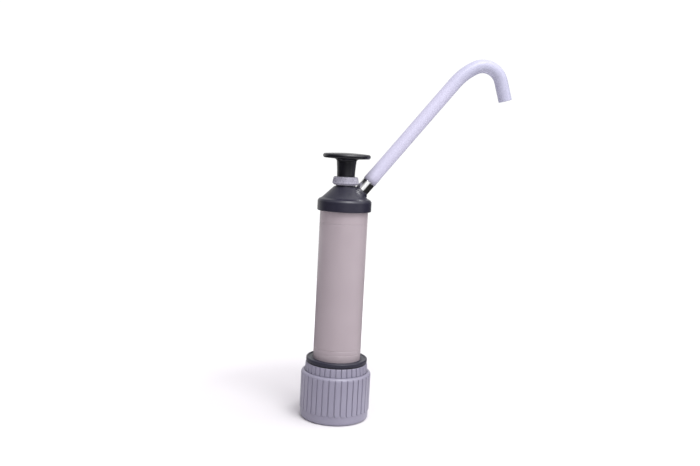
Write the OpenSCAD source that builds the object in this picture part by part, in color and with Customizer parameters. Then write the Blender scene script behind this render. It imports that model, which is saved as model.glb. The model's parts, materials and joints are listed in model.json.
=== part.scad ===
// Hand pump water filter: ribbed base cup, slim barrel, conical head, palm knob and swivelling spout.
// Millimetres, +Z up. The origin is the centre of the base's underside and the spout leans towards +X.

/* [Base cup] */
// Radius over the ribs of the wide lower band
base_r = 30; // [29.6:0.1:31]
// Radius over the ribs at the foot of the narrow upper band
collar_foot_r = 27; // [26.8:0.1:27.6]
// Radius over the ribs at the top of the narrow upper band
collar_top_r = 26.4; // [26.3:0.1:26.7]
// Height of the cup
base_h = 48; // [47:1:52]
// Height of the smooth foot band
foot_h = 8; // [6:1:12]
// Number of grip ribs round the cup
rib_count = 36; // [24:1:40]
// Width of the groove between two ribs
groove_w = 0.9; // [0.6:0.1:1.4]
// Depth of the groove between two ribs
groove_d = 0.9; // [0.8:0.05:1]
// Radius of the threaded bore
cup_bore_r = 24.2; // [23.8:0.1:24.4]

/* [Barrel] */
// Outer radius of the barrel tube
barrel_r = 20.3; // [20:0.1:21]
// Wall of the barrel tube
barrel_wall = 2; // [1.6:0.1:2.2]
// Height of the barrel's top edge above the floor
barrel_top = 182; // [180:1:200]
// Outer radius of the screwed flange under the barrel
flange_r = 26.2; // [25.8:0.1:26.3]
// Thickness of the flange that shows above the cup
flange_t = 3.5; // [3:0.5:5]
// Thickness of the gasket between cup and flange
gasket_t = 0.8; // [0.5:0.1:1.2]

/* [Head] */
// Radius of the head cap's band
cap_r = 22.8; // [22.4:0.1:24]
// Height of the band, from its lower edge to its lip
cap_band_h = 9.2; // [8.5:0.1:12]
// Radius of the cone where it meets the nut
cone_top_r = 9.5; // [9:0.1:10]
// Largest radius of the gland nut
nut_r = 11.2; // [10.6:0.1:11.3]
// Height of the gland nut
nut_h = 6.9; // [6.2:0.1:9]

/* [Pump] */
// Bore radius of the pump cylinder
pump_bore_r = 12; // [11.5:0.1:12.2]
// Stroke of the piston
stroke = 85; // [60:1:85]
// Radius of the pump rod
rod_r = 4; // [3.6:0.1:4.2]
// Radius of the palm knob
knob_r = 20.1; // [18:0.1:24]
// Radius of the knob's neck at the nut
neck_r = 7.6; // [7.2:0.1:8.2]

/* [Spout] */
// Slope of the spout above the horizontal, in degrees
spout_tilt = 51.3; // [50:0.1:53]
// Radius of the metal spout stub in its socket and inside the outlet tube
stub_r = 4.9; // [4.4:0.1:4.9]
// Radius of the stub's bare sleeve, between the head and the outlet tube
sleeve_r = 5.7; // [5.2:0.1:5.7]
// Outer radius of the outlet tube
tube_r = 5.75; // [5.5:0.05:6]
// Bore radius of the outlet tube
tube_bore_r = 4.2; // [3.8:0.1:4.3]
// Length of the outlet tube's straight run
tube_run = 111.8; // [60:0.1:140]
// Radius and sweep of the gentle first bend
bend_one = [53, 24];
// Radius and sweep of the tight second bend
bend_two = [17, 100];
// Length of the straight end that points down
tube_end = 17; // [10:1:40]

/* [Hidden] */
$fn = 96;
cut = 0.5;            // how far a cutter runs past the face that it opens
fit_gap = 0.1;        // running gap of a thread or guided ring
slide_gap = 0.05;     // running gap of a shaft in its bore

// Levels, from the floor up
recess_h = 1.5;                         // underside recess
floor_z = 4;                            // top of the cup's floor
foot_r = base_r - 0.7;                  // smooth foot band, set back from the ribs
shoulder_r = base_r - collar_foot_r;    // round of the shoulder between the bands
shoulder_z = base_h - 10;               // start of the shoulder's round
skirt_z = base_h - 10;                  // lower end of the flange's threaded skirt
flange_z = base_h + gasket_t;           // underside of the flange
flange_top = flange_z + flange_t;
barrel_z = skirt_z + 4;                 // lower end of the barrel tube
plate_z = barrel_z + 12;                // underside of the valve plate
chamber_z = plate_z + 6;                // floor of the pump chamber
valve_travel = 2;                       // lift of both valves
cylinder_top = barrel_top - 8;
ledge_z = barrel_top + 1;               // head ledge above the barrel, with its gasket between
cap_z = ledge_z - 4.4;                  // lower edge of the cap's band
lip_z = cap_z + cap_band_h;             // lip where the band meets the cone
cone_z = lip_z + 11.2;                  // flat top of the cone
nut_z = cone_z + 1.3;
nut_top = nut_z + nut_h;
neck_z = nut_top + 0.3;                 // lower end of the knob's neck
rim_z = neck_z + 17;                    // middle of the knob's rim
rod_top = neck_z + 12;

// Cartridge in the cup
mesh_z = floor_z;
foam_z = mesh_z + 0.8;
cart_z = foam_z + 5;
cart_top = skirt_z - 3;
cart_r = cup_bore_r - 0.4;
cart_bore_r = cart_r - 1.5;

// Barrel inside
inner_r = barrel_r - barrel_wall;
cylinder_r = pump_bore_r + 1.5;
element_r = inner_r - 1.3;              // outside of the ceramic element
element_bore_r = cylinder_r + 1;
element_z = chamber_z + 5.6;
element_top = cylinder_top - 14;
ring_hole_r = (cylinder_r + inner_r) / 2;

// Piston
piston_r = pump_bore_r - slide_gap;
piston_z = chamber_z + 12;
piston_h = 11.7;
stud_r = rod_r - 1;                     // rod end that carries the piston
stud_z = piston_z - 6;
spigot_z = barrel_top - 12.5;           // lower end of the head's spigot in the cylinder
neck_h = rod_top - neck_z;

// Spout axis: it leaves the cone at this point, in the XZ plane
spout_x = cone_top_r + 3.9;
spout_z = cone_z - 3.8;
socket_t = -4.8;                        // bottom of the stub's socket, along the axis
boss_t = 0.9;                           // top of the boss
sleeve_t = boss_t + 0.2;                // foot of the stub's sleeve
tube_t = 10.4;                          // where the sleeve ends and the outlet tube starts
stub_end_t = tube_t + 7;
socket_r = stub_r + 0.08;
lap_l = 0.5;                            // how far neighbouring stretches of the tube lap
lap_inset = 0.03;                       // and how far the lapping wall is drawn in

// Corners of the outlet tube's route in the XZ plane, each with the heading there
run_end_t = tube_t + tube_run;
bend_p = [spout_x + run_end_t * cos(spout_tilt), spout_z + run_end_t * sin(spout_tilt)];
head_two = spout_tilt - bend_one[1];
bend_q = bend_p + arc_step(bend_one[0], spout_tilt, bend_one[1]);
head_end = head_two - bend_two[1];
end_p = bend_q + arc_step(bend_two[0], head_two, bend_two[1]);

// Colours
grey = [0.56, 0.55, 0.62];
nut_grey = [0.62, 0.62, 0.66];
black = [0.10, 0.10, 0.13];
taupe = [0.68, 0.62, 0.64];
white = [0.90, 0.90, 0.88];
amber = [0.80, 0.76, 0.66];
rubber = [0.14, 0.14, 0.15];
steel = [0.78, 0.79, 0.80];
brass = [0.80, 0.66, 0.36];
milky = [0.86, 0.86, 0.90];

// Displacement along an arc that turns downwards by sweep, from a heading
function arc_step(r, heading, sweep) = [
    r * (sin(heading) - sin(heading - sweep)),
    r * (cos(heading - sweep) - cos(heading))
];

// Points of an arc, for outlines
function arc(c, r, a0, a1, n = 6) = [
    for (i = [0:n]) [c[0] + r * cos(a0 + (a1 - a0) * i / n), c[1] + r * sin(a0 + (a1 - a0) * i / n)]
];

module disc(r, z0, z1) {
    translate([0, 0, z0]) cylinder(r = r, h = z1 - z0);
}

module ring(r_in, r_out, z0, z1) {
    difference() {
        disc(r_out, z0, z1);
        disc(r_in, z0 - cut, z1 + cut);
    }
}

// Copies its child on a circle
module around(count, r, start = 0) {
    for (i = [0:count - 1]) rotate([0, 0, start + i * 360 / count]) translate([r, 0, 0]) children();
}

// Moves its child to the spout axis, where local +Z runs outwards along the axis
module on_spout(t) {
    translate([spout_x, 0, spout_z]) rotate([0, 90 - spout_tilt, 0]) translate([0, 0, t]) children();
}

// ---- Base cup ----

function base_outline() = concat(
    [[0, 0]],
    arc([foot_r - 2.5, 2.5], 2.5, -90, 0),
    [[foot_r, foot_h]],
    arc([base_r - 0.4, foot_h + 0.4], 0.4, -90, 0, 3),
    arc([collar_foot_r, shoulder_z], shoulder_r, 0, 90, 6),
    arc([collar_top_r - 0.6, base_h - 0.6], 0.6, 0, 90, 3),
    [[0, base_h]]
);

// Section of one groove, which follows the outline at the groove's depth
function groove_outline() = concat(
    [[base_r - groove_d, foot_h + 0.3]],
    arc([collar_foot_r, shoulder_z], shoulder_r - groove_d, 0, 90, 4),
    [
        [collar_foot_r - groove_d, shoulder_z + shoulder_r - groove_d],
        [collar_top_r - groove_d, base_h + cut],
        [base_r + cut, base_h + cut],
        [base_r + cut, foot_h + 0.3]
    ]
);

module groove() {
    rotate([90, 0, 0])
        linear_extrude(height = groove_w, center = true) polygon(groove_outline());
}

// Opens the groove's foot, so that each rib ends in rounded corners
module groove_foot() {
    round_r = 1.3;
    dip = 0.15;
    side = concat(
        [[groove_w / 2 + round_r, -dip]],
        [for (a = [260:-25:185]) [groove_w / 2 + round_r * (1 + cos(a)), round_r * (1 + sin(a))]],
        [[groove_w / 4, round_r + 0.3]]
    );
    translate([base_r - groove_d - 0.05, 0, foot_h])
        rotate([90, 0, 90])
            linear_extrude(height = groove_d + 2 * cut)
                polygon(concat(side, [for (i = [len(side) - 1:-1:0]) [-side[i][0], side[i][1]]]));
}

module base_cup() {
    slot_w = 2.4;
    slot_in = 10;
    slot_out = 22;
    notch_w = 7;
    notch_h = 0.8;
    rim_in = 25;
    color(grey)
    difference() {
        rotate_extrude() polygon(base_outline());
        for (i = [0:rib_count - 1]) rotate([0, 0, (i + 0.5) * 360 / rib_count]) {
            groove();
            groove_foot();
        }
        disc(cup_bore_r, floor_z, base_h + cut);
        ring(8, rim_in, -cut, recess_h);
        around(12, slot_in) translate([0, -slot_w / 2, 0]) cube([slot_out - slot_in, slot_w, floor_z + cut]);
        around(4, rim_in - cut, 45) translate([0, -notch_w / 2, -cut]) cube([8, notch_w, notch_h + cut]);
    }
}

// ---- Cartridge in the cup ----

module strainer_mesh() {
    wire = 0.6;
    pitch = 3;
    hoop_r = cup_bore_r - 0.2;
    open_r = hoop_r - 1.8;
    reach = floor(open_r / pitch);
    color(steel)
    translate([0, 0, mesh_z]) {
        difference() {
            cylinder(r = hoop_r, h = 0.8);
            translate([0, 0, -cut]) cylinder(r = open_r, h = 0.8 + 2 * cut);
        }
        for (i = [-reach:reach]) {
            half = sqrt(pow(open_r + 0.4, 2) - pow(i * pitch, 2));
            translate([-half, i * pitch - wire / 2, 0]) cube([2 * half, wire, 0.4]);
            translate([i * pitch - wire / 2, -half, 0.2]) cube([wire, 2 * half, 0.4]);
        }
    }
}

module prefilter_foam() {
    color(rubber) disc(cup_bore_r - 0.1, foam_z, cart_z);
}

module cartridge_shell() {
    color(white) ring(cart_bore_r, cart_r, cart_z, cart_top);
}

module cartridge_foot() {
    color(white)
    difference() {
        disc(cart_bore_r, cart_z, cart_z + 1.5);
        around(6, 7) disc(1.5, cart_z - cut, cart_z + 1.5 + cut);
        around(12, 14) disc(1.5, cart_z - cut, cart_z + 1.5 + cut);
        around(16, 19) disc(1.5, cart_z - cut, cart_z + 1.5 + cut);
    }
}

module carbon_bed() {
    color(rubber) disc(cart_bore_r, cart_z + 1.5, cart_top - 3.5);
}

module cartridge_lid() {
    color(white)
    difference() {
        union() {
            disc(cart_bore_r, cart_top - 3.5, cart_top);
            disc(cart_r, cart_top, cart_top + 1.5);
        }
        disc(4.5, cart_top - 3.5 - cut, cart_top + 1.5 + cut);
    }
}

module cartridge_seal() {
    color(rubber) ring(4.5, 8.5, cart_top + 1.5, skirt_z - 0.3);
}

// ---- Barrel foot and valves ----

module base_gasket() {
    color(rubber) ring(cup_bore_r + 0.2, flange_r - 0.6, base_h, flange_z);
}

module barrel_flange() {
    skirt_r = cup_bore_r - fit_gap;
    color(black)
    rotate_extrude()
        polygon(concat(
            [[barrel_r, skirt_z], [skirt_r - 0.8, skirt_z], [skirt_r, skirt_z + 0.8], [skirt_r, flange_z]],
            [[flange_r - 0.3, flange_z], [flange_r - 0.3, flange_z + 0.7], [flange_r, flange_z + 0.9]],
            arc([flange_r - 1.1, flange_top - 1.1], 1.1, 0, 90),
            [[barrel_r + 0.5, flange_top], [barrel_r, flange_top - 0.5]]
        ));
}

module valve_block() {
    gallery_z = plate_z - 3;
    color(white)
    difference() {
        union() {
            disc(9, skirt_z - 0.3, skirt_z);
            disc(barrel_r, skirt_z, barrel_z);
            disc(inner_r, barrel_z, plate_z);
        }
        disc(4, skirt_z - 1, plate_z + cut);
        ring(8, inner_r - 1.4, gallery_z, plate_z + cut);
    }
}

module valve_plate() {
    color(white)
    difference() {
        union() {
            disc(inner_r, plate_z, chamber_z);
            ring(cylinder_r, inner_r, chamber_z, chamber_z + 2);
        }
        disc(4, plate_z - cut, chamber_z + cut);
        around(6, pump_bore_r - 1.8) disc(1.2, plate_z - cut, chamber_z + cut);
        around(8, ring_hole_r) disc(1.2, plate_z - cut, chamber_z + 2 + cut);
    }
}

module inlet_valve() {
    color(rubber) disc(6, chamber_z, chamber_z + 1.2);
}

module inlet_cage() {
    cage_h = 4.6;
    window_w = 5;
    color(steel)
    difference() {
        disc(8, chamber_z, chamber_z + cage_h);
        disc(6.5, chamber_z - cut, chamber_z + 1.2 + valve_travel + 0.3);
        disc(2.5, chamber_z, chamber_z + cage_h + cut);
        for (a = [0, 90])
            rotate([0, 0, a])
                translate([-10, -window_w / 2, chamber_z + 1])
                    cube([20, window_w, 2.2]);
    }
}

module delivery_valve() {
    color(rubber) ring(cylinder_r + 0.4, inner_r - 0.4, chamber_z + 2, chamber_z + 3.2);
}

module pump_cylinder() {
    color(steel) ring(pump_bore_r, cylinder_r, chamber_z, cylinder_top);
}

// Fine turned lines near both ends of the barrel
module barrel_tube() {
    line_w = 0.4;
    line_d = 0.25;
    color(taupe)
    difference() {
        ring(inner_r, barrel_r, barrel_z, barrel_top);
        for (z = [flange_top + 5.2, flange_top + 8.7, cap_z - 10.6])
            ring(barrel_r - line_d, barrel_r + cut, z, z + line_w);
    }
}

// ---- Ceramic element ----

module ceramic_element() {
    color(white) ring(element_bore_r, element_r, element_z + 2, element_top);
}

module element_ring_lower() {
    color(amber)
    rotate_extrude()
        polygon([
            [cylinder_r, element_z], [element_r + 0.6, element_z], [element_r + 0.6, element_z + 5],
            [element_r, element_z + 5], [element_r, element_z + 2], [element_bore_r, element_z + 2],
            [element_bore_r, element_z + 5], [cylinder_r, element_z + 5]
        ]);
}

module element_ring_upper() {
    color(amber)
    rotate_extrude()
        polygon([
            [cylinder_r + 0.6, element_top], [element_r, element_top], [element_r, element_top - 3],
            [inner_r, element_top - 3], [inner_r, element_top + 2], [cylinder_r + 0.6, element_top + 2]
        ]);
}

// ---- Head ----

module head_gasket() {
    color(rubber) ring(inner_r, barrel_r - 0.1, barrel_top, ledge_z);
}

// Half section of the head: band, lip and cone outside, then the water chamber, the spigot in the
// pump cylinder, the bush bore and the packing bore inside
function head_outline() = concat(
    [[8.2, nut_z + 4.7], [8.2, cone_z]],
    [[cone_top_r - 0.3, cone_z], [cone_top_r, cone_z - 0.3], [19.2, lip_z + 1.8], [cap_r - 1.2, lip_z + 0.5]],
    arc([cap_r - 0.9, lip_z - 0.6], 0.9, 70, 0, 5),
    arc([cap_r - 0.8, cap_z + 0.8], 0.8, 0, -90, 5),
    [[barrel_r, cap_z], [barrel_r, ledge_z], [inner_r - 0.7, ledge_z], [inner_r - 0.7, ledge_z + 4.5]],
    [[cylinder_r, ledge_z + 4.5], [cylinder_r, cylinder_top], [pump_bore_r, cylinder_top]],
    [[pump_bore_r, spigot_z], [9, spigot_z], [9, ledge_z + 2.5], [5.2, ledge_z + 4.5]],
    [[5.2, cone_z - 1], [6.6, cone_z - 1], [6.6, nut_z + 4.7]]
);

module head_cap() {
    color(black)
    difference() {
        union() {
            rotate_extrude() polygon(head_outline());
            on_spout(socket_t) cylinder(r1 = 6.6, r2 = 6.6, h = boss_t - socket_t - 0.4);
            on_spout(boss_t - 0.4) cylinder(r1 = 6.6, r2 = 6.2, h = 0.4);
        }
        // The stub's socket, then the drilling from its bottom down to the water chamber
        on_spout(socket_t) cylinder(r = socket_r, h = 12);
        translate([11, 0, ledge_z + 8]) rotate([0, 180 - 33, 0]) cylinder(r = 1.9, h = 7);
        disc(5.2, ledge_z + 4.5, cone_z);
        ring(8.2, nut_r + 3, cone_z + 0.6, nut_top);
    }
}

module rod_bush() {
    color(brass) ring(rod_r + slide_gap, 5.2, ledge_z + 4.5, cone_z - 1);
}

module rod_packing() {
    color(rubber) ring(rod_r + 0.03, 6.6, cone_z - 1, nut_z + 2.3);
}

module gland_nut() {
    color(nut_grey)
    rotate_extrude()
        polygon(concat(
            [[8.3, nut_z], [nut_r - 1.6, nut_z], [nut_r, nut_z + 1.6]],
            arc([nut_r - 1.5, nut_top - 0.8], 0.8, 10, 90, 5),
            [[rod_r + 0.3, nut_top], [rod_r + 0.3, nut_z + 2.3], [6.5, nut_z + 2.3]],
            [[6.5, nut_z + 4.9], [8.3, nut_z + 4.9]]
        ));
}

// ---- Knob, rod and piston ----

// The neck flares gently upwards from the nut
function neck_at(h) = neck_r + 0.7 * pow(h / 11.7, 2);

function knob_outline() = concat(
    [[5.6, neck_z], [neck_r - 0.4, neck_z]],
    [for (h = [0.4:1.9:11.8]) [neck_at(h), neck_z + h]],
    arc([neck_at(11.8) + 2.2, neck_z + 11.9], 2.2, 180, 98, 6),
    arc([knob_r - 1.9, rim_z], 1.9, -84, 90, 12),
    [for (k = [3:-1:0]) [(knob_r - 1.9) * k / 4, rim_z + 1.9 + 0.8 * (1 - pow(k / 4, 2))]],
    [[0, rod_top], [5.6, rod_top]]
);

module pump_knob() {
    color(black) rotate_extrude() polygon(knob_outline());
}

module knob_insert() {
    color(brass) ring(rod_r, 5.6, neck_z, rod_top);
}

module pump_rod() {
    color(steel) {
        disc(rod_r, piston_z + piston_h + 0.3, rod_top);
        disc(stud_r, stud_z, piston_z + piston_h + 0.3);
    }
}

module piston() {
    groove_z = piston_z + 4;
    color(amber)
    difference() {
        disc(piston_r, piston_z, piston_z + piston_h);
        ring(pump_bore_r - 2.4, pump_bore_r + cut, groove_z, groove_z + 3.4);
        disc(stud_r + slide_gap, piston_z - cut, piston_z + piston_h + cut);
    }
}

module piston_seal() {
    groove_z = piston_z + 4;
    seal_r = pump_bore_r - 0.03;
    color(rubber)
    rotate_extrude()
        polygon(concat(
            [[pump_bore_r - 2.4, groove_z]],
            arc([seal_r - 0.8, groove_z + 0.8], 0.8, -90, 0, 4),
            arc([seal_r - 0.8, groove_z + 2.6], 0.8, 0, 90, 4),
            [[pump_bore_r - 2.4, groove_z + 3.4]]
        ));
}

module piston_nut() {
    color(steel)
    difference() {
        translate([0, 0, piston_z - 5.4]) cylinder(r = 5.8, h = 5.1, $fn = 6);
        disc(stud_r, piston_z - 6, piston_z);
    }
}

// ---- Spout ----

module spout_stub() {
    color(steel)
    difference() {
        union() {
            on_spout(socket_t) cylinder(r = stub_r, h = stub_end_t - socket_t);
            on_spout(sleeve_t) cylinder(r = sleeve_r, h = tube_t - sleeve_t);
        }
        on_spout(socket_t - cut) cylinder(r = stub_r - 1.4, h = stub_end_t - socket_t + 2 * cut);
        on_spout(socket_t + 1.6)
            difference() {
                cylinder(r = stub_r + cut, h = 1.6);
                cylinder(r = stub_r - 0.8, h = 1.6);
            }
    }
}

module spout_seal() {
    color(rubber)
    on_spout(socket_t + 1.6)
        difference() {
            cylinder(r = socket_r - 0.03, h = 1.6);
            translate([0, 0, -cut]) cylinder(r = stub_r - 0.8, h = 1.6 + 2 * cut);
        }
}

// Moves its child to a point of the route, where local +X follows the heading
module on_route(p, heading) {
    translate([p[0], 0, p[1]]) rotate([0, -heading, 0]) children();
}

// A bend of tube that starts at the origin along +X and turns towards -Z. With a lap it runs that far
// into its neighbours at both ends, with its wall drawn in so that it stays inside theirs
module bend(shape, lap = 0) {
    inset = lap > 0 ? lap_inset : 0;
    lap_angle = lap / shape[0] * 180 / PI;
    translate([0, 0, -shape[0]])
        rotate([-90, -90 - lap_angle, 0])
            rotate_extrude(angle = shape[1] + 2 * lap_angle)
                translate([shape[0], 0])
                    difference() {
                        circle(r = tube_r - inset);
                        circle(r = tube_bore_r + inset);
                    }
}

// Half section of the straight run, which is stretched over the stub at its foot
function run_outline() = [
    [stub_r, 0], [tube_r, 0], [tube_r + 0.2, 0.4], [tube_r + 0.2, stub_end_t - tube_t],
    [tube_r, stub_end_t - tube_t + 4], [tube_r, tube_run], [tube_bore_r, tube_run],
    [tube_bore_r, stub_end_t - tube_t + 2], [stub_r, stub_end_t - tube_t]
];

// Half section of the open end, which laps into the bend before it
function mouth_outline() = [
    [tube_bore_r + lap_inset, -lap_l], [tube_r - lap_inset, -lap_l], [tube_r - lap_inset, tube_end - 0.4],
    [tube_r - lap_inset - 0.4, tube_end], [tube_bore_r + lap_inset, tube_end]
];

module outlet_tube() {
    color(milky) {
        on_spout(tube_t) rotate_extrude() polygon(run_outline());
        on_route(bend_p, spout_tilt) bend(bend_one, lap_l);
        on_route(bend_q, head_two) bend(bend_two);
        on_route(end_p, head_end) rotate([0, 90, 0]) rotate_extrude() polygon(mouth_outline());
    }
}

base_cup();
strainer_mesh();
prefilter_foam();
cartridge_shell();
cartridge_foot();
carbon_bed();
cartridge_lid();
cartridge_seal();
base_gasket();
barrel_flange();
valve_block();
valve_plate();
inlet_valve();
inlet_cage();
delivery_valve();
pump_cylinder();
barrel_tube();
ceramic_element();
element_ring_lower();
element_ring_upper();
head_gasket();
head_cap();
rod_bush();
rod_packing();
gland_nut();
pump_knob();
knob_insert();
pump_rod();
piston();
piston_seal();
piston_nut();
spout_stub();
spout_seal();
outlet_tube();
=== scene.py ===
import json
import math

import bmesh
import bpy
from mathutils import Matrix, Vector


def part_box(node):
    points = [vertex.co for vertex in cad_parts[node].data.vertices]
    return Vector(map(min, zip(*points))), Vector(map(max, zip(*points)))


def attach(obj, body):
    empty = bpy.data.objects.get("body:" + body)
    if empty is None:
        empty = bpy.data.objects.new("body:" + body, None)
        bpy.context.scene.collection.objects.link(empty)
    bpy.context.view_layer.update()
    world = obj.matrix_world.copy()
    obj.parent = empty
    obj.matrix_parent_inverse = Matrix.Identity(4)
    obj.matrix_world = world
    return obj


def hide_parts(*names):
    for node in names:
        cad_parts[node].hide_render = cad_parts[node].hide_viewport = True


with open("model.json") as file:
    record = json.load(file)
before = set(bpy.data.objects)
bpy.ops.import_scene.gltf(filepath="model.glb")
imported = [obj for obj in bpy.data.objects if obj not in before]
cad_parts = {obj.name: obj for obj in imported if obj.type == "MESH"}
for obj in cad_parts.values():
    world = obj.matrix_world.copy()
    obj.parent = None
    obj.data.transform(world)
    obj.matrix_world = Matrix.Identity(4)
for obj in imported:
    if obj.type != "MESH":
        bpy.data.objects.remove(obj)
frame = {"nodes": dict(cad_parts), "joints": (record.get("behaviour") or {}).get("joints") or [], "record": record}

MM = 0.001
TAU = math.tau
TINY = 1e-6                        # lengths below this, in metres, count as nothing
SHARP_EDGE = math.radians(38)      # sharper bends than this aren't shaded smooth
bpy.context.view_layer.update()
scene = bpy.context.scene


# ---------------------------------------------------------------- geometry helpers

def size_of(node):
    """Outer radius, lowest and highest level of a node that is centred on the pump's axis."""
    low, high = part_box(node)
    return (high.y - low.y) / 2, low.z, high.z


def joint(name):
    return next(j for j in frame["joints"] if j["name"] == name)


def smooth(t):
    """Eases from 0 to 1 while t goes from 0 to 1."""
    t = min(1.0, max(0.0, t))
    return t * t * (3 - 2 * t)


NEARLY_STRAIGHT = math.radians(89)


def outline(*corners, steps=6, closed=True):
    """Profile in (radius, level). A corner is (r, z) or (r, z, rounding radius).

    Each rounding gets a point a little before and after it, which keeps its shading off the flats.
    """
    count = len(corners)
    path = []
    for i, corner in enumerate(corners):
        here = Vector(corner[:2])
        round_r = corner[2] if len(corner) > 2 else 0
        inner = closed or 0 < i < count - 1
        if not round_r or not inner:
            path.append(here)
            continue
        before = (Vector(corners[i - 1][:2]) - here).normalized()
        after = (Vector(corners[(i + 1) % count][:2]) - here).normalized()
        half = before.angle(after) / 2
        if half > NEARLY_STRAIGHT:
            path.append(here)
            continue
        reach = round_r / math.tan(half)
        centre = here + (before + after).normalized() * (round_r / math.sin(half))
        start = here + before * reach
        end = here + after * reach
        support = min(0.15 * round_r, 0.1 * MM)
        path.append(start + before * support)
        from_c, to_c = start - centre, end - centre
        sweep = from_c.angle_signed(to_c)
        for k in range(steps + 1):
            turn = Matrix.Rotation(-sweep * k / steps, 2)
            path.append(centre + turn @ from_c)
        path.append(end + after * support)
    return [(p.x, p.y) for p in path]


def mesh_object(name, verts, faces, body, node=None, slot=None):
    mesh = bpy.data.meshes.new(name)
    mesh.from_pydata(verts, [], faces)
    mesh.validate()
    mesh.update()
    obj = bpy.data.objects.new(name, mesh)
    scene.collection.objects.link(obj)
    tidy = bmesh.new()
    tidy.from_mesh(mesh)
    bmesh.ops.recalc_face_normals(tidy, faces=tidy.faces)
    tidy.to_mesh(mesh)
    tidy.free()
    mesh.shade_smooth()
    mesh.set_sharp_from_angle(angle=SHARP_EDGE)
    if body:
        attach(obj, body)
    if node:
        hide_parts(node)
    return obj


def lathe(name, profile, body, columns=128, closed=True, shape=None, place=None, **tags):
    """Turns a profile about Z. shape(a, r, z) may move each point; place puts the result in the frame."""
    angles = [TAU * k / columns for k in range(columns)]
    verts, rings = [], []
    for r, z in profile:
        if r < TINY:
            rings.append([len(verts)] * columns)
            verts.append(Vector((0, 0, z)))
            continue
        rings.append(list(range(len(verts), len(verts) + columns)))
        for a in angles:
            rr, zz = shape(a, r, z) if shape else (r, z)
            verts.append(Vector((rr * math.cos(a), rr * math.sin(a), zz)))
    faces = []
    last = len(rings) if closed else len(rings) - 1
    for i in range(last):
        low, high = rings[i], rings[(i + 1) % len(rings)]
        for k in range(columns):
            n = (k + 1) % columns
            face = list(dict.fromkeys((low[k], low[n], high[n], high[k])))
            if len(face) > 2:
                faces.append(face)
    if place:
        verts = [place @ v for v in verts]
    return mesh_object(name, verts, faces, body, **tags)


# The spout. Its lengths are along its axis and start where the axis leaves the cone.
SOCKET_DEPTH = 4.8 * MM            # how far the stub reaches into the head
SOCKET_RADIUS = 4.98 * MM
STUB_RADIUS = 4.9 * MM
SLEEVE_START = 1.1 * MM
TUBE_START = 10.4 * MM
STUB_END = TUBE_START + 7 * MM     # inside the outlet tube
RUN = 111.8 * MM                   # straight run of the outlet tube, from its foot
BENDS = ((53 * MM, math.radians(24)), (17 * MM, math.radians(100)))
TAIL = 17 * MM


def spout_frame():
    """Places local +Z along the spout's axis, from the point where the axis leaves the cone."""
    swivel = joint("spout_swivel")
    axis = Vector(swivel["axis"]).normalized()
    turn = Vector((0, 0, 1)).rotation_difference(axis).to_matrix().to_4x4()
    turn.translation = Vector(swivel["pos_m"])
    return turn


# ---------------------------------------------------------------- materials

def srgb(r, g, b):
    """Linear colour, with alpha, of a colour given in 0 to 255."""
    def linear(c):
        c = c / 255
        return c / 12.92 if c < 0.04045 else ((c + 0.055) / 1.055) ** 2.4
    return (linear(r), linear(g), linear(b), 1.0)


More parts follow.
